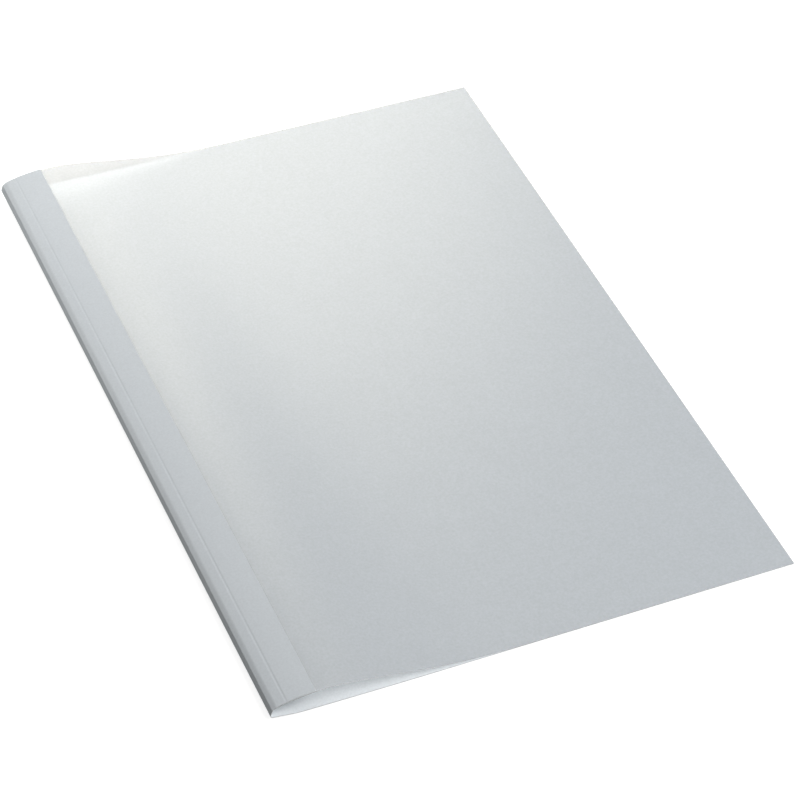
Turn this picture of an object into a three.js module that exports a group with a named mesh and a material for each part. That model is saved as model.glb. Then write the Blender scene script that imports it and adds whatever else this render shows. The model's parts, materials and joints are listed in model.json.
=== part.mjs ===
// Thermal binding cover for A4 sheets, closed and lying on its back.
//
// One card is folded into the back cover, the spine and a narrow flap along the front.
// A matt see-through sheet is glued under the flap and bows down to the back cover.
// A strip of hot-melt glue lies inside the spine, where the edges of the pages go.
// The front opens at the pressed crease between the spine and the flap.
//
// Millimetres. X runs from the spine to the fore edge, Y along the spine and Z up.
// The origin is on the table under the middle of the cover.
// Every piece is one section, drawn across the spine and extruded along it.

import * as THREE from "three";

// Cover
const coverWidth = 210; // outside of the spine to the fore edge
const coverLength = 297; // along the spine

// Card
const cardThickness = 0.3;
const creaseWidth = 0.8; // across a pressed crease
const creaseDepth = 0.1;

// Spine
const spineFlat = 2.2; // straight height between the two folds
const spineLean = 14; // degrees that the spine leans in over the pages
const bottomFoldRadius = 1.3; // outside of the soft fold into the back cover
const topFoldRadius = 0.55; // outside of the sharp fold into the shoulder
const shoulderWidth = 1.8; // from the sharp fold to the bend into the front strip
const shoulderSlope = 36; // degrees
const shoulderEase = 0.4; // length of that bend to either side

// Back cover
const backCreaseReach = 11; // outside of the spine to the crease
const backCreaseLift = 0.65; // the crease stands this far off the table
const backStripSlope = 8.8; // degrees, from the crease up to the spine
const backTouchdown = 70; // outside of the spine to where the panel lies flat

// Front flap
const frontCreaseReach = 6; // outside of the spine to the crease where the front opens
const frontStripSlope = 17.5; // degrees, from the shoulder up to the crease
const creaseGap = 0.3; // between the two sides of that crease
const flapReach = 17; // outside of the spine to the flap's edge
const flapHeight = 10.1; // the flap's edge is the highest line of the cover

// Front sheet
const sheetThickness = 0.15;
const sheetLanding = 98; // outside of the spine to where the sheet comes down
const sheetCrownPull = 22; // how long the bow stays level after the flap
const sheetLandingPull = 42; // how gently it comes down
const sheetRestClearance = 0.1; // over the back cover

// Glue that holds the sheet under the flap
const seamThickness = 0.1;
const seamCreaseGap = 2; // from the crease to where the sheet and its glue start
const seamEdgeGap = 0.65; // from the glue to the flap's edge
const seamClearance = 0.05; // to the card and to the sheet
const seamEndInset = 3; // from each end of the cover

// Hot-melt strip in the spine
const glueDrop = 0.3; // how far it reaches into the soft fold
const glueThickness = 1.1;
const glueEdgeRadius = 0.45;
const glueClearance = 0.08; // to the inside of the spine
const glueEndInset = 3; // from each end of the cover

// Fineness of the curves
const foldSteps = 16;
const bendSteps = 6;
const flapSteps = 12;
const bowSteps = 44;
const easeSteps = 10;
const glueEdgeSteps = 5;

// Looks
const cardColour = 0xc3cad0;
const sheetColour = 0xe6eaea;
const hotMeltColour = 0xf4f4ee;
const seamColour = 0xe9ebe6;

const radians = THREE.MathUtils.degToRad;

// A unit vector at an angle from +X towards +Z in the section.
function heading(degrees) {
  return new THREE.Vector2(Math.cos(radians(degrees)), Math.sin(radians(degrees)));
}

// The next point along a heading.
function step(point, degrees, distance) {
  return point.clone().addScaledVector(heading(degrees), distance);
}

// The points of an arc, clockwise from one heading to the other, as seen from the near end.
function arc(centre, radius, fromDegrees, toDegrees) {
  const points = [];
  for (let i = 0; i <= foldSteps; i += 1) {
    const turn = THREE.MathUtils.lerp(fromDegrees, toDegrees, i / foldSteps);
    points.push(step(centre, turn, radius));
  }
  return points;
}

// Which way is out at each point of a line: to its left, halfway between its neighbours.
function outwardNormals(line) {
  return line.map((point, i) => {
    const before = line[Math.max(i - 1, 0)];
    const after = line[Math.min(i + 1, line.length - 1)];
    const arriving = point.clone().sub(before).normalize();
    const leaving = after.clone().sub(point).normalize();
    const along = arriving.add(leaving).normalize();
    return new THREE.Vector2(-along.y, along.x);
  });
}

// The same line, set in from its outside by some depth.
function setIn(line, depth) {
  const normals = outwardNormals(line);
  return line.map((point, i) => point.clone().addScaledVector(normals[i], -depth));
}

// A closed section between two depths under an outer line.
function layer(line, topDepth, thickness) {
  const outer = setIn(line, topDepth);
  const inner = setIn(line, topDepth + thickness);
  return new THREE.Shape([...outer, ...inner.reverse()]);
}

// A section extruded along the spine, with its ends an equal distance inside the cover's ends.
function piece(name, section, colour, roughness, endInset = 0) {
  const length = coverLength - 2 * endInset;
  const geometry = new THREE.ExtrudeGeometry(section, { depth: length, bevelEnabled: false });
  geometry.rotateX(Math.PI / 2);
  geometry.translate(-coverWidth / 2, length / 2, 0);
  const material = new THREE.MeshStandardMaterial({ color: colour, roughness, metalness: 0 });
  const mesh = new THREE.Mesh(geometry, material);
  mesh.name = name;
  return mesh;
}

// The outside of the folded card

// The bottom fold stands on the line of the strip that rises from the back crease.
const backCrease = new THREE.Vector2(backCreaseReach, backCreaseLift);
const stripOut = -90 - backStripSlope;
const spineOut = -180 - spineLean;
const bottomFoldEnd = bottomFoldRadius * (1 + heading(stripOut).x);
const backStripRise = (backCreaseReach - bottomFoldEnd) * Math.tan(radians(backStripSlope));
const bottomFold = new THREE.Vector2(
  bottomFoldRadius,
  backCreaseLift + backStripRise - bottomFoldRadius * heading(stripOut).y,
);

// The leaning spine ends in a sharp fold.
const spineFoot = step(bottomFold, spineOut, bottomFoldRadius);
const spineHead = step(spineFoot, 90 - spineLean, spineFlat);
const topFold = step(spineHead, spineOut, -topFoldRadius);

// A steeper shoulder follows and bends into the front strip.
const shoulderOut = -270 + shoulderSlope;
const shoulderFoot = step(topFold, shoulderOut, topFoldRadius);
const shoulderHead = step(shoulderFoot, shoulderSlope, shoulderWidth);
const shoulderBend = new THREE.QuadraticBezierCurve(
  step(shoulderHead, shoulderSlope, -shoulderEase),
  shoulderHead,
  step(shoulderHead, frontStripSlope, shoulderEase),
);

// The front crease lies where the strip reaches it.
const frontStripLength = (frontCreaseReach - shoulderHead.x) / heading(frontStripSlope).x;
const frontCrease = step(shoulderHead, frontStripSlope, frontStripLength);

// The flap rises from the crease and is level at its edge.
const flapWidth = flapReach - frontCreaseReach;
const flapEdge = new THREE.Vector2(flapReach, flapHeight);
const flapCurve = new THREE.QuadraticBezierCurve(
  frontCrease,
  new THREE.Vector2((frontCrease.x + flapEdge.x) / 2, flapEdge.y),
  flapEdge,
);

// The panel eases up from the table to the back crease.
const backEase = new THREE.QuadraticBezierCurve(
  new THREE.Vector2(backTouchdown, 0),
  new THREE.Vector2((backTouchdown + backCreaseReach) / 2, 0),
  backCrease,
);

// A crease is a shallow V, pressed into the outside of the card.
const pressedBackCrease = [
  new THREE.Vector2(backCrease.x + creaseWidth / 2, backCrease.y),
  new THREE.Vector2(backCrease.x, backCrease.y + creaseDepth),
  step(backCrease, 180 - backStripSlope, creaseWidth / 2),
];
const wrapCreaseRim = step(frontCrease, 180 + frontStripSlope, creaseWidth / 2);
const wrapCreaseFoot = step(
  step(frontCrease, 180 + frontStripSlope, creaseGap / 2),
  frontStripSlope - 90,
  creaseDepth,
);
const flapLine = flapCurve.getPoints(flapSteps);
const flapStartSlope = THREE.MathUtils.radToDeg(flapCurve.getTangent(0).angle());
const flapCreaseRim = step(frontCrease, flapStartSlope, creaseWidth / 2);
const flapCreaseFoot = step(
  step(frontCrease, flapStartSlope, creaseGap / 2),
  flapStartSlope - 90,
  creaseDepth,
);

// Back cover, spine and the strip up to the front crease, folded from one card
function cardWrap() {
  const outside = [
    new THREE.Vector2(coverWidth, 0),
    ...backEase.getPoints(easeSteps).slice(0, -1),
    ...pressedBackCrease,
    ...arc(bottomFold, bottomFoldRadius, stripOut, spineOut),
    ...arc(topFold, topFoldRadius, spineOut, shoulderOut),
    ...shoulderBend.getPoints(bendSteps),
    wrapCreaseRim,
    wrapCreaseFoot,
  ];
  return piece("card_wrap", layer(outside, 0, cardThickness), cardColour, 0.75);
}

// The rest of the same card beyond the crease
function frontFlap() {
  const outside = [flapCreaseFoot, flapCreaseRim, ...flapLine.slice(1)];
  return piece("front_flap", layer(outside, 0, cardThickness), cardColour, 0.75);
}

// Points of the flap's own curve from beside the crease to some distance short of its edge
function flapStretch(edgeGap) {
  const points = [];
  for (let i = 0; i <= flapSteps; i += 1) {
    const fromCrease = THREE.MathUtils.lerp(seamCreaseGap, flapWidth - edgeGap, i / flapSteps);
    points.push(flapCurve.getPoint(fromCrease / flapWidth));
  }
  return points;
}

function seamGlue() {
  const section = layer(flapStretch(seamEdgeGap), cardThickness + seamClearance, seamThickness);
  return piece("seam_glue", section, seamColour, 0.6, seamEndInset);
}

// The sheet starts beside the crease, follows the flap and then bows down to the back cover.
function frontSheet() {
  const depthUnderFlap = cardThickness + seamThickness + 2 * seamClearance;
  const underFlap = setIn(flapStretch(0), depthUnderFlap);
  const bowStart = new THREE.Vector2(flapEdge.x, flapEdge.y - depthUnderFlap);
  const restingTop = cardThickness + sheetRestClearance + sheetThickness;
  const landing = new THREE.Vector2(sheetLanding, restingTop);
  const bow = new THREE.CubicBezierCurve(
    bowStart,
    new THREE.Vector2(bowStart.x + sheetCrownPull, bowStart.y),
    new THREE.Vector2(landing.x - sheetLandingPull, landing.y),
    landing,
  );
  const top = [
    ...underFlap.slice(0, -1),
    ...bow.getPoints(bowSteps),
    new THREE.Vector2(coverWidth, restingTop),
  ];
  return piece("front_sheet", layer(top, 0, sheetThickness), sheetColour, 0.45);
}

// A flat strip with rounded inner edges, lying along the inside of the spine
function spineGlue() {
  const top = spineFlat;
  const bottom = -glueDrop;
  const edgeHeight = glueThickness - glueEdgeRadius;
  const outline = new THREE.Shape();
  outline.moveTo(bottom, 0);
  outline.lineTo(top, 0);
  outline.absarc(top - glueEdgeRadius, edgeHeight, glueEdgeRadius, 0, Math.PI / 2);
  outline.absarc(bottom + glueEdgeRadius, edgeHeight, glueEdgeRadius, Math.PI / 2, Math.PI);

  // The outline's width runs up the spine and its height points into the cover.
  const seat = step(spineFoot, spineOut, -cardThickness - glueClearance);
  const section = outline
    .getPoints(glueEdgeSteps)
    .map((point) => step(step(seat, 90 - spineLean, point.x), -spineLean, point.y));
  return piece("spine_glue", new THREE.Shape(section), hotMeltColour, 0.4, glueEndInset);
}

const cover = new THREE.Group();
cover.add(cardWrap(), spineGlue(), frontFlap(), seamGlue(), frontSheet());

export default cover;
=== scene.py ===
"""Looks of an A4 thermal binding cover, closed and lying on its back.

Metres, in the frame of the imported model: X from the spine to the fore edge, Y along the
spine and Z up. Sections are drawn in millimetres, as reach from the spine and height over
the table, and one Geometry Nodes tree sweeps each of them along the spine.
"""

import json
import math

import bpy
from mathutils import Matrix, Vector


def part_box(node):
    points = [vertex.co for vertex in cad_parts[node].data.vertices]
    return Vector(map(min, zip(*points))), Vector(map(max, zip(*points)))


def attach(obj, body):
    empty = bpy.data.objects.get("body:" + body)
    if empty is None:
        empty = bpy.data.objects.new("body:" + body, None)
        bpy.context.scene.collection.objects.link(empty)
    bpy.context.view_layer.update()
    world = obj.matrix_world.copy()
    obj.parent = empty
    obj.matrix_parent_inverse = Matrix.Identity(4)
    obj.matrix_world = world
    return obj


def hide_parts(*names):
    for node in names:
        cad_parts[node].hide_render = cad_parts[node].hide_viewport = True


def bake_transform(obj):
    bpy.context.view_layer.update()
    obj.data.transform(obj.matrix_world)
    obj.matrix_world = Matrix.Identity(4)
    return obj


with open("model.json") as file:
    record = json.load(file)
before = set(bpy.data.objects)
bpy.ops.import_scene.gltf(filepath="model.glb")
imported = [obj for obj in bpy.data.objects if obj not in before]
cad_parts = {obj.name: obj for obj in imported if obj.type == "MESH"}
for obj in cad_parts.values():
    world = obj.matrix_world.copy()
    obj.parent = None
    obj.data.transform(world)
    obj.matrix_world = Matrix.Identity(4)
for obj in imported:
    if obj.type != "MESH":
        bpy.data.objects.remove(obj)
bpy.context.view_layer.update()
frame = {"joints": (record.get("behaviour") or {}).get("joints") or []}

MM = 0.001

# Places taken from the frame
wrap_low, wrap_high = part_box("card_wrap")
flap_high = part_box("front_flap")[1]
sheet_low, sheet_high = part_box("front_sheet")
seam_low, seam_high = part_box("seam_glue")
glue_low, glue_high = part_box("spine_glue")
hinge = Vector(frame["joints"][0]["pos_m"])
SPINE_X = wrap_low.x
COVER_LENGTH = wrap_high.y - wrap_low.y
COVER_WIDTH = (wrap_high.x - SPINE_X) / MM

# Card, in millimetres
CARD = 0.3
CREASE_WIDTH = 1.4
CREASE_DEPTH = 0.11

# Spine
SPINE_FLAT = 2.2
SPINE_LEAN = 14
BOTTOM_FOLD_RADIUS = 1.3
TOP_FOLD_RADIUS = 0.55
SHOULDER_WIDTH = 1.8
SHOULDER_SLOPE = 36
SHOULDER_EASE = 0.5

# Back cover
BACK_CREASE = Vector((11, 0.65))
BACK_STRIP_SLOPE = 8.8
BACK_TOUCHDOWN = 70

# Front flap
CREASE = Vector(((hinge.x - SPINE_X) / MM, hinge.z / MM))
FRONT_STRIP_SLOPE = 17.5
FLAP_EDGE = Vector(((flap_high.x - SPINE_X) / MM, flap_high.z / MM))
FLAP_RISE = 0.45

# Front sheet
SHEET = 0.15
SHEET_START = (sheet_low.x - SPINE_X) / MM
SHEET_TOP = sheet_high.z / MM
SHEET_REST = sheet_low.z / MM + SHEET
SHEET_LANDING = 98
CROWN_PULL = 19
LANDING_PULL = 42

# Glue seam under the flap
SEAM_THICKNESS = 0.1
SEAM_CLEARANCE = 0.05

# Hot-melt strip
GLUE_DROP = 0.3
GLUE_THICKNESS = 1.1
GLUE_CLEARANCE = 0.08
GLUE_EDGE = 0.3

# Fineness
STATIONS = 34
FOLD_STEPS = 28
STRIP_STEPS = 60
FLAP_STEPS = 120
BOW_STEPS = 140
FLAT_STEPS = 30
GLUE_STEPS = 8
EDGE_STEPS = 4
MERGE_DISTANCE = 1e-6
SHARP_ANGLE = 40

# Colours
CARD_GREY = (0.484, 0.514, 0.54)
CARD_INSIDE = (0.775, 0.81, 0.835)
CARD_CORE = (0.70, 0.72, 0.72)
FILM_COLOUR = (0.56, 0.595, 0.635)
HOT_MELT = (0.93, 0.93, 0.9)
SEAM = (0.80, 0.82, 0.80)
WHITE = (1, 1, 1)
WARM_WHITE = (1, 0.99, 0.96)

# Grain: sizes and heights in millimetres, its bump's strength, and how far it moves a colour
# or a roughness
NOISE_LOW = 0.3
NOISE_HIGH = 0.7
FINE_SHARE = 0.9
CARD_CLOUDS = 6
CARD_FIBRES = 0.8
CARD_FIBRE_HEIGHT = 0.02
CARD_BUMP = 0.35
CARD_MOTTLE = 0.045
CARD_ROUGHNESS_SPREAD = 0.05
FILM_CLOUDS = 14
FILM_FROSTING = 0.9
FILM_FROSTING_HEIGHT = 0.006
FILM_BUMP = 0.3
FILM_MOTTLE = 0.07
FILM_ROUGHNESS_SPREAD = 0.02
GLUE_WAVES = 2.5
GLUE_WAVE_HEIGHT = 0.1
GLUE_BUMP = 0.3
GLUE_MOTTLE = 0.03
GLUE_ROUGHNESS_SPREAD = 0.08

# Sheen
CARD_ROUGHNESS = 0.72
CARD_INSIDE_ROUGHNESS = 0.78
CARD_CORE_ROUGHNESS = 0.85
CARD_SPECULAR = 0.3
FILM_ALPHA = 0.36
FILM_ROUGHNESS = 0.36
FILM_IOR = 1.64
FILM_SPECULAR_TINT = (1, 0.94, 0.76, 1)
FILM_COAT = 0.9
FILM_COAT_IOR = 1.6
FILM_COAT_ROUGHNESS = 0.37
HOT_MELT_ROUGHNESS = 0.4
SEAM_ROUGHNESS = 0.5

# Table and sky
TABLE_SIZE = 6
TABLE_DROP = 0.0002
TABLE_WHITE = 0.55
TABLE_GREY = 0.22
TABLE_GLOW = 0.8
SKY = 0.03

# Camera, solved on the straight edges in the photograph
EYE = Vector((-0.37276, -0.76115, 0.82682))
AIM = Vector((0.00181, -0.01783, 0))
LENS = 135.79
SENSOR = 36
CLIP_START = 0.05
CAMERA_TILT = 4.436


# Drawing a section


def heading(degrees):
    """A unit vector at an angle from +X towards +Z."""
    angle = math.radians(degrees)
    return Vector((math.cos(angle), math.sin(angle)))


def arc(centre, radius, start, end):
    """The points of an arc between two headings from its centre."""
    turns = [start + (end - start) * i / FOLD_STEPS for i in range(FOLD_STEPS + 1)]
    return [centre + radius * heading(turn) for turn in turns]


def bezier(corners, steps):
    """The points of a Bezier curve with any number of corners, by repeated halving of its legs."""
    points = []
    for i in range(steps + 1):
        share = i / steps
        legs = list(corners)
        while len(legs) > 1:
            legs = [a.lerp(b, share) for a, b in zip(legs, legs[1:])]
        points.append(legs[0])
    return points


def straight(start, end, steps):
    """Evenly spaced points of a straight stretch."""
    return bezier([start, end], steps)


def joined(*stretches):
    """One line from stretches that meet, with each shared point once."""
    line = list(stretches[0])
    for stretch in stretches[1:]:
        line += stretch[1:]
    return line


def outward(line):
    """Which way is out at each point: to the left of the line's course."""
    normals = []
    for i in range(len(line)):
        course = line[min(i + 1, len(line) - 1)] - line[max(i - 1, 0)]
        normals.append(Vector((-course.y, course.x)).normalized())
    return normals


def set_in(line, depth):
    """The same line at a depth under its outside."""
    return [point - depth * way for point, way in zip(line, outward(line))]


def pressed(line, centre):
    """The same line with a rounded groove pressed into its outside at the centre."""
    half = CREASE_WIDTH / 2
    grooved = []
    for point, way in zip(line, outward(line)):
        off = min((point - centre).length / half, 1)
        grooved.append(point - way * CREASE_DEPTH * (1 + math.cos(math.pi * off)) / 2)
    return grooved


# The outside of the folded card, from the fore edge of the back round to the flap's edge

strip_out = -90 - BACK_STRIP_SLOPE
spine_out = -180 - SPINE_LEAN
spine_up = heading(90 - SPINE_LEAN)
shoulder_out = -270 + SHOULDER_SLOPE
bottom_fold_end = BOTTOM_FOLD_RADIUS * (1 + heading(strip_out).x)
strip_rise = (BACK_CREASE.x - bottom_fold_end) * math.tan(math.radians(BACK_STRIP_SLOPE))
bottom_fold_height = BACK_CREASE.y + strip_rise - BOTTOM_FOLD_RADIUS * heading(strip_out).y
bottom_fold = Vector((BOTTOM_FOLD_RADIUS, bottom_fold_height))
spine_foot = bottom_fold + BOTTOM_FOLD_RADIUS * heading(spine_out)
spine_head = spine_foot + SPINE_FLAT * spine_up
top_fold = spine_head - TOP_FOLD_RADIUS * heading(spine_out)

bottom_arc = arc(bottom_fold, BOTTOM_FOLD_RADIUS, strip_out, spine_out)
top_arc = arc(top_fold, TOP_FOLD_RADIUS, spine_out, shoulder_out)
shoulder_head = top_arc[-1] + SHOULDER_WIDTH * heading(SHOULDER_SLOPE)
shoulder_bend = bezier(
    [
        shoulder_head - SHOULDER_EASE * heading(SHOULDER_SLOPE),
        shoulder_head,
        shoulder_head + SHOULDER_EASE * heading(FRONT_STRIP_SLOPE),
    ],
    FOLD_STEPS,
)

touchdown = Vector((BACK_TOUCHDOWN, 0))
ease_middle = Vector(((BACK_TOUCHDOWN + BACK_CREASE.x) / 2, 0))
back_line = joined(
    straight(Vector((COVER_WIDTH, 0)), touchdown, FLAT_STEPS),
    bezier([touchdown, ease_middle, BACK_CREASE], STRIP_STEPS),
    straight(BACK_CREASE, bottom_arc[0], STRIP_STEPS),
    bottom_arc,
    straight(spine_foot, spine_head, FOLD_STEPS),
)
flap_middle = Vector(((CREASE.x + FLAP_EDGE.x) / 2, FLAP_EDGE.y - FLAP_RISE))
flap_curve = bezier([CREASE, flap_middle, FLAP_EDGE], FLAP_STEPS)
flap_end_course = (FLAP_EDGE - flap_middle).normalized()
flap_line = joined(
    top_arc,
    straight(top_arc[-1], shoulder_bend[0], FOLD_STEPS),
    shoulder_bend,
    straight(shoulder_bend[-1], CREASE, STRIP_STEPS),
    flap_curve,
)


def sheet_line():
    """The top of the front sheet: under the flap, then bowing down to the back cover."""
    depth = FLAP_EDGE.y - SHEET_TOP
    under_flap = [point for point in set_in(flap_curve, depth) if point.x > SHEET_START]
    bow_start = under_flap[-1]
    crown = bow_start + CROWN_PULL * flap_end_course
    landing = Vector((SHEET_LANDING, SHEET_REST))
    approach = landing - Vector((LANDING_PULL, 0))
    bow = bezier([bow_start, crown, approach, landing], BOW_STEPS)
    rest = straight(landing, Vector((COVER_WIDTH, SHEET_REST)), FLAT_STEPS)
    return joined(under_flap, bow, rest)


def seam_line():
    """The glue's line under the flap, between the card and the sheet."""
    line = set_in(flap_curve, CARD + SEAM_CLEARANCE)
    return [point for point in line if seam_low.x <= SPINE_X + point.x * MM <= seam_high.x]


def glue_line():
    """The seat of the hot-melt strip, along the inside of the spine."""
    seat = spine_foot - heading(spine_out) * (CARD + GLUE_CLEARANCE)
    return straight(seat - GLUE_DROP * spine_up, seat + SPINE_FLAT * spine_up, GLUE_STEPS)


# Finishes


def new_material(name):
    """A material with its Principled shader and its Object coordinates."""
    material = bpy.data.materials.new(name)
    material.use_nodes = True
    nodes = material.node_tree.nodes
    shader = next(node for node in nodes if node.type == "BSDF_PRINCIPLED")
    place = nodes.new("ShaderNodeTexCoord")
    return material, shader, place.outputs["Object"]


def noise(material, place, size_mm, detail):
    """Noise with features of about the given size."""
    node = material.node_tree.nodes.new("ShaderNodeTexNoise")
    node.inputs["Scale"].default_value = 1 / (size_mm * MM)
    node.inputs["Detail"].default_value = detail
    material.node_tree.links.new(place, node.inputs["Vector"])
    return node.outputs["Fac"]


def roughen(material, source, roughness, spread, shader):
    """Lets the roughness vary a little with a noise."""
    node = material.node_tree.nodes.new("ShaderNodeMapRange")
    node.inputs["From Min"].default_value = NOISE_LOW
    node.inputs["From Max"].default_value = NOISE_HIGH
    node.inputs["To Min"].default_value = roughness - spread
    node.inputs["To Max"].default_value = roughness + spread
    material.node_tree.links.new(source, node.inputs["Value"])
    material.node_tree.links.new(node.outputs["Result"], shader.inputs["Roughness"])


def shade(colour, factor):
    """A colour made darker or lighter."""
    return tuple(min(part * factor, 1) for part in colour)


def mottle(material, source, dark, light, shader):
    """Runs the colour between two near shades."""
    node = material.node_tree.nodes.new("ShaderNodeValToRGB")
    node.color_ramp.elements[0].position = NOISE_LOW
    node.color_ramp.elements[0].color = (*dark, 1)
    node.color_ramp.elements[1].position = NOISE_HIGH
    node.color_ramp.elements[1].color = (*light, 1)
    material.node_tree.links.new(source, node.inputs["Fac"])
    material.node_tree.links.new(node.outputs["Color"], shader.inputs["Base Color"])


def blended(material, coarse, fine):
    """Fine noise with some of a coarser one in it."""
    node = material.node_tree.nodes.new("ShaderNodeMix")
    node.inputs["Factor"].default_value = FINE_SHARE
    material.node_tree.links.new(coarse, node.inputs["A"])
    material.node_tree.links.new(fine, node.inputs["B"])
    return node.outputs["Result"]


def bump(material, source, height_mm, strength, shader):
    """Raises the surface by a noise."""
    node = material.node_tree.nodes.new("ShaderNodeBump")
    node.inputs["Strength"].default_value = strength
    node.inputs["Distance"].default_value = height_mm * MM
    material.node_tree.links.new(source, node.inputs["Height"])
    material.node_tree.links.new(node.outputs["Normal"], shader.inputs["Normal"])


def card_finish(name, colour, roughness):
    """Smooth matt card: faint clouds in its colour and a fine felt of fibres."""
    material, shader, place = new_material(name)
    clouds = noise(material, place, CARD_CLOUDS, detail=4)
    fibres = noise(material, place, CARD_FIBRES, detail=3)
    grain = blended(material, clouds, fibres)
    dark = shade(colour, 1 - CARD_MOTTLE)
    light = shade(colour, 1 + CARD_MOTTLE)
    mottle(material, grain, dark, light, shader)
    roughen(material, fibres, roughness, CARD_ROUGHNESS_SPREAD, shader)
    bump(material, fibres, CARD_FIBRE_HEIGHT, CARD_BUMP, shader)
    shader.inputs["Specular IOR Level"].default_value = CARD_SPECULAR
    return material


def sheet_finish():
    """Matt see-through film: a fine frosting that blurs its sheen."""
    material, shader, place = new_material("matt_film")
    frosting = noise(material, place, FILM_FROSTING, detail=3)
    clouds = noise(material, place, FILM_CLOUDS, detail=3)
    grain = blended(material, clouds, frosting)
    dark = shade(FILM_COLOUR, 1 - FILM_MOTTLE)
    light = shade(FILM_COLOUR, 1 + FILM_MOTTLE)
    mottle(material, grain, dark, light, shader)
    roughen(material, frosting, FILM_ROUGHNESS, FILM_ROUGHNESS_SPREAD, shader)
    bump(material, frosting, FILM_FROSTING_HEIGHT, FILM_BUMP, shader)
    shader.inputs["Alpha"].default_value = FILM_ALPHA
    shader.inputs["IOR"].default_value = FILM_IOR
    shader.inputs["Specular IOR Level"].default_value = 1
    shader.inputs["Specular Tint"].default_value = FILM_SPECULAR_TINT
    shader.inputs["Coat Weight"].default_value = FILM_COAT
    shader.inputs["Coat IOR"].default_value = FILM_COAT_IOR
    shader.inputs["Coat Roughness"].default_value = FILM_COAT_ROUGHNESS
    return material


def glue_finish(name, colour, roughness):
    """Waxy glue, slightly uneven where it was laid."""
    material, shader, place = new_material(name)
    waves = noise(material, place, GLUE_WAVES, detail=2)
    mottle(material, waves, shade(colour, 1 - GLUE_MOTTLE), colour, shader)
    roughen(material, waves, roughness, GLUE_ROUGHNESS_SPREAD, shader)
    bump(material, waves, GLUE_WAVE_HEIGHT, GLUE_BUMP, shader)
    return material


card_outside = card_finish("card_outside", CARD_GREY, CARD_ROUGHNESS)
card_inside = card_finish("card_inside", CARD_INSIDE, CARD_INSIDE_ROUGHNESS)
card_core = card_finish("card_cut_edge", CARD_CORE, CARD_CORE_ROUGHNESS)
matt_film = sheet_finish()
hot_melt = glue_finish("hot_melt", HOT_MELT, HOT_MELT_ROUGHNESS)
seam_film = glue_finish("seam_film", SEAM, SEAM_ROUGHNESS)


# Sweeping a section along the spine


def combined(tree, operation, first, second=0):
    """A number that a node tree works out from one or two others."""
    node = tree.nodes.new("ShaderNodeMath")
    node.operation = operation
    for value, socket in ((first, node.inputs[0]), (second, node.inputs[1])):
        if isinstance(value, (int, float)):
            socket.default_value = value
        else:
            tree.links.new(value, socket)
    return node.outputs[0]


def sweep_tree():
    """Lays a grid through a section's points, one column each, and gives it a thickness."""
    tree = bpy.data.node_groups.new("Sweep along the spine", "GeometryNodeTree")
    face = tree.interface
    face.new_socket("Section", in_out="INPUT", socket_type="NodeSocketGeometry")
    for label, kind in (
        ("Length", "NodeSocketFloat"),
        ("Stations", "NodeSocketInt"),
        ("Thickness", "NodeSocketFloat"),
        ("Outside", "NodeSocketMaterial"),
        ("Inside", "NodeSocketMaterial"),
        ("Cut edge", "NodeSocketMaterial"),
    ):
        face.new_socket(label, in_out="INPUT", socket_type=kind)
    face.new_socket("Piece", in_out="OUTPUT", socket_type="NodeSocketGeometry")

    nodes, link = tree.nodes, tree.links.new
    given = nodes.new("NodeGroupInput").outputs
    result = nodes.new("NodeGroupOutput").inputs

    # One column of the grid for each point of the section
    count = nodes.new("GeometryNodeAttributeDomainSize")
    link(given["Section"], count.inputs["Geometry"])
    grid = nodes.new("GeometryNodeMeshGrid")
    link(given["Length"], grid.inputs["Size Y"])
    link(count.outputs["Point Count"], grid.inputs["Vertices X"])
    link(given["Stations"], grid.inputs["Vertices Y"])
    index = nodes.new("GeometryNodeInputIndex").outputs[0]
    column = combined(tree, "FLOOR", combined(tree, "DIVIDE", index, given["Stations"]))

    # Each column takes the place of its point and keeps its own station along the spine
    sample = nodes.new("GeometryNodeSampleIndex")
    sample.data_type = "FLOAT_VECTOR"
    link(given["Section"], sample.inputs["Geometry"])
    link(nodes.new("GeometryNodeInputPosition").outputs[0], sample.inputs["Value"])
    link(column, sample.inputs["Index"])
    point = nodes.new("ShaderNodeSeparateXYZ")
    link(sample.outputs["Value"], point.inputs[0])
    station = nodes.new("ShaderNodeSeparateXYZ")
    link(nodes.new("GeometryNodeInputPosition").outputs[0], station.inputs[0])
    place = nodes.new("ShaderNodeCombineXYZ")
    link(point.outputs["X"], place.inputs["X"])
    link(station.outputs["Y"], place.inputs["Y"])
    link(point.outputs["Z"], place.inputs["Z"])
    laid = nodes.new("GeometryNodeSetPosition")
    link(grid.outputs["Mesh"], laid.inputs["Geometry"])
    link(place.outputs[0], laid.inputs["Position"])

    # The inside is the same surface turned over and pushed in by the thickness
    turned = nodes.new("GeometryNodeFlipFaces")
    link(laid.outputs[0], turned.inputs["Mesh"])
    pushed = nodes.new("GeometryNodeExtrudeMesh")
    pushed.mode = "FACES"
    pushed.inputs["Individual"].default_value = False
    link(turned.outputs[0], pushed.inputs["Mesh"])
    link(given["Thickness"], pushed.inputs["Offset Scale"])

    def finished(geometry, material, selection=None):
        node = nodes.new("GeometryNodeSetMaterial")
        link(geometry, node.inputs["Geometry"])
        link(material, node.inputs["Material"])
        if selection is not None:
            link(selection, node.inputs["Selection"])
        return node.outputs[0]

    outside = finished(laid.outputs[0], given["Outside"])
    inside = finished(pushed.outputs["Mesh"], given["Inside"])
    inside = finished(inside, given["Cut edge"], pushed.outputs["Side"])
    both = nodes.new("GeometryNodeJoinGeometry")
    link(outside, both.inputs[0])
    link(inside, both.inputs[0])
    closed = nodes.new("GeometryNodeMergeByDistance")
    closed.inputs["Distance"].default_value = MERGE_DISTANCE
    link(both.outputs[0], closed.inputs["Geometry"])
    link(closed.outputs[0], result["Piece"])
    return tree


SWEEP = sweep_tree()


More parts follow.
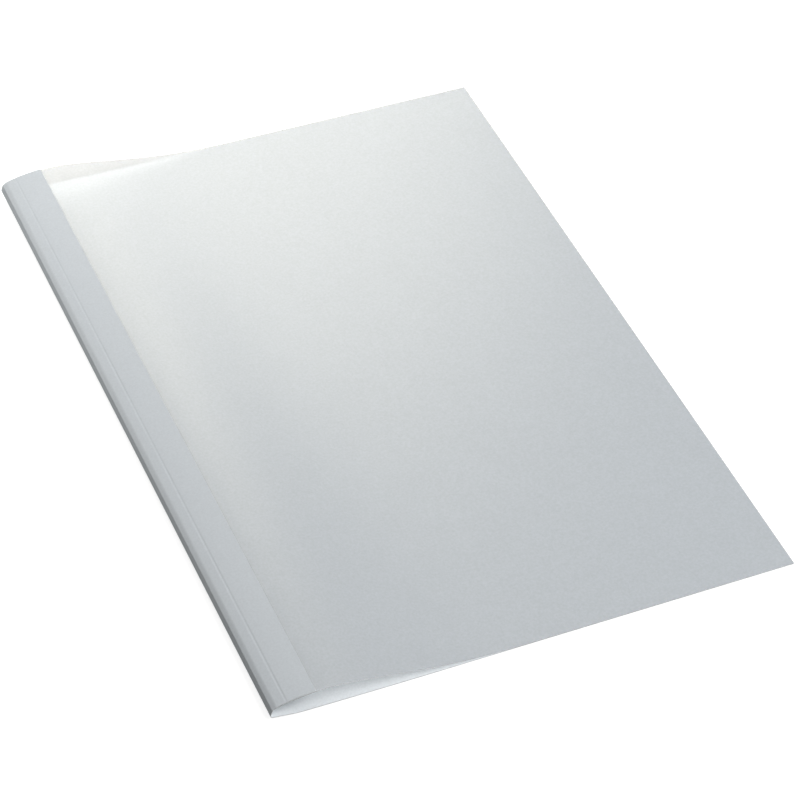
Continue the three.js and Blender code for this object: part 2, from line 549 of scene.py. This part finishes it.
def swept(name, line, thickness_mm, length, finishes, edge_mm=0):
    """A piece from the line of its outside, with finishes outside, inside and at its cut edges."""
    section = bpy.data.meshes.new(name + "_section")
    places = [(SPINE_X + point.x * MM, 0, point.y * MM) for point in line]
    section.from_pydata(places, [], [])
    maker = bpy.data.objects.new(name + "_maker", section)
    bpy.context.scene.collection.objects.link(maker)
    sweep = maker.modifiers.new("Sweep", "NODES")
    sweep.node_group = SWEEP
    outside, inside, cut_edge = finishes
    values = {
        "Length": length,
        "Stations": STATIONS,
        "Thickness": thickness_mm * MM,
        "Outside": outside,
        "Inside": inside,
        "Cut edge": cut_edge,
    }
    for socket in SWEEP.interface.items_tree:
        if socket.name in values:
            sweep[socket.identifier] = values[socket.name]
    if edge_mm:
        rounding = maker.modifiers.new("Rounded edges", "BEVEL")
        rounding.width = edge_mm * MM
        rounding.segments = EDGE_STEPS
        rounding.limit_method = "ANGLE"
    shown = maker.evaluated_get(bpy.context.evaluated_depsgraph_get())
    mesh = bpy.data.meshes.new_from_object(shown)
    bpy.data.objects.remove(maker)
    mesh.name = name
    mesh.polygons.foreach_set("use_smooth", [True] * len(mesh.polygons))
    mesh.set_sharp_from_angle(angle=math.radians(SHARP_ANGLE))
    piece = bpy.data.objects.new(name, mesh)
    bpy.context.scene.collection.objects.link(piece)
    return piece


# Pieces

card_finishes = (card_outside, card_inside, card_core)

back = swept("back_and_spine", pressed(back_line, BACK_CREASE), CARD, COVER_LENGTH, card_finishes)
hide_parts("card_wrap")
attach(back, "back")

flap = swept("flap", pressed(flap_line, CREASE), CARD, COVER_LENGTH, card_finishes)
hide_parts("front_flap")
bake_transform(flap)

sheet = swept("matt_sheet", sheet_line(), SHEET, COVER_LENGTH, (matt_film,) * 3)
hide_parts("front_sheet")
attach(sheet, "front")

glue_length = glue_high.y - glue_low.y
strip = swept("hot_melt_strip", glue_line(), GLUE_THICKNESS, glue_length, (hot_melt,) * 3, GLUE_EDGE)
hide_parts("spine_glue")
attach(strip, "back")

seam_length = seam_high.y - seam_low.y
seam = swept("glue_seam", seam_line(), SEAM_THICKNESS, seam_length, (seam_film,) * 3)
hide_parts("seam_glue")
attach(seam, "front")


# Table, light and camera


def table():
    """A pale table that looks white, with a soft shadow left on it."""
    bpy.ops.mesh.primitive_plane_add(size=TABLE_SIZE, location=(0, 0, -TABLE_DROP))
    plane = bpy.context.object
    plane.name = "table"
    material = bpy.data.materials.new("table")
    material.use_nodes = True
    tree = material.node_tree
    tree.nodes.clear()
    link = tree.links.new
    out = tree.nodes.new("ShaderNodeOutputMaterial")
    grey = tree.nodes.new("ShaderNodeBsdfDiffuse")
    grey.inputs["Color"].default_value = (TABLE_GREY, TABLE_GREY, TABLE_GREY, 1)
    white = tree.nodes.new("ShaderNodeBsdfDiffuse")
    white.inputs["Color"].default_value = (TABLE_WHITE, TABLE_WHITE, TABLE_WHITE, 1)
    glow = tree.nodes.new("ShaderNodeEmission")
    lit = tree.nodes.new("ShaderNodeAddShader")
    link(white.outputs[0], lit.inputs[0])
    link(glow.outputs[0], lit.inputs[1])

    # The glow that makes it white is seen only past the cover and not through the sheet,
    # where a ray has already gone through something.
    path = tree.nodes.new("ShaderNodeLightPath").outputs
    past_cover = combined(tree, "LESS_THAN", path["Transparent Depth"], 0.5)
    link(combined(tree, "MULTIPLY", past_cover, TABLE_GLOW), glow.inputs["Strength"])
    mirrored = combined(tree, "MAXIMUM", path["Is Glossy Ray"], path["Is Transmission Ray"])
    seen = combined(tree, "MAXIMUM", path["Is Camera Ray"], mirrored)
    choose = tree.nodes.new("ShaderNodeMixShader")
    link(seen, choose.inputs["Fac"])
    link(grey.outputs[0], choose.inputs[1])
    link(lit.outputs[0], choose.inputs[2])
    link(choose.outputs[0], out.inputs["Surface"])
    plane.data.materials.append(material)


def surroundings():
    """An even dim sky that looks white."""
    world = bpy.data.worlds.new("surroundings")
    bpy.context.scene.world = world
    world.use_nodes = True
    tree = world.node_tree
    tree.nodes.clear()
    link = tree.links.new
    out = tree.nodes.new("ShaderNodeOutputWorld")
    dim = tree.nodes.new("ShaderNodeBackground")
    dim.inputs["Strength"].default_value = SKY
    white = tree.nodes.new("ShaderNodeBackground")
    white.inputs["Color"].default_value = (*WHITE, 1)
    path = tree.nodes.new("ShaderNodeLightPath")
    choose = tree.nodes.new("ShaderNodeMixShader")
    link(path.outputs["Is Camera Ray"], choose.inputs["Fac"])
    link(dim.outputs[0], choose.inputs[1])
    link(white.outputs[0], choose.inputs[2])
    link(choose.outputs[0], out.inputs["Surface"])


def softbox(name, place, aim, width, height, power, colour):
    """A rectangular lamp that faces its aim."""
    lamp = bpy.data.lights.new(name, "AREA")
    lamp.color = colour
    lamp.shape = "RECTANGLE"
    lamp.size = width
    lamp.size_y = height
    lamp.energy = power
    holder = bpy.data.objects.new(name, lamp)
    holder.location = place
    holder.rotation_euler = (Vector(aim) - Vector(place)).to_track_quat("-Z", "Y").to_euler()
    holder.visible_camera = False
    bpy.context.scene.collection.objects.link(holder)


def camera():
    """The photograph's view: a long lens, aimed a little short of the middle and slightly tilted."""
    lens = bpy.data.cameras.new("camera")
    lens.lens = LENS
    lens.sensor_width = SENSOR
    lens.clip_start = CLIP_START
    holder = bpy.data.objects.new("camera", lens)
    look = (AIM - EYE).to_track_quat("-Z", "Y").to_matrix().to_4x4()
    tilt = Matrix.Rotation(math.radians(CAMERA_TILT), 4, "Z")
    holder.matrix_world = Matrix.Translation(EYE) @ look @ tilt
    bpy.context.scene.collection.objects.link(holder)
    bpy.context.scene.camera = holder


table()
surroundings()
softbox("far_softbox", (-0.1, 0.64, 0.3), (-0.1, 0, 0), 0.95, 0.61, 6.9, WARM_WHITE)
softbox("near_softbox", (0.52, -0.67, 0.99), (0, 0, 0), 0.9, 0.9, 17.4, WHITE)
softbox("left_softbox", (-0.45, 0.3, 0.2), (-0.1, 0.05, 0), 0.3, 0.2, 0.5, WHITE)
camera()
bpy.context.scene.view_settings.view_transform = "Standard"
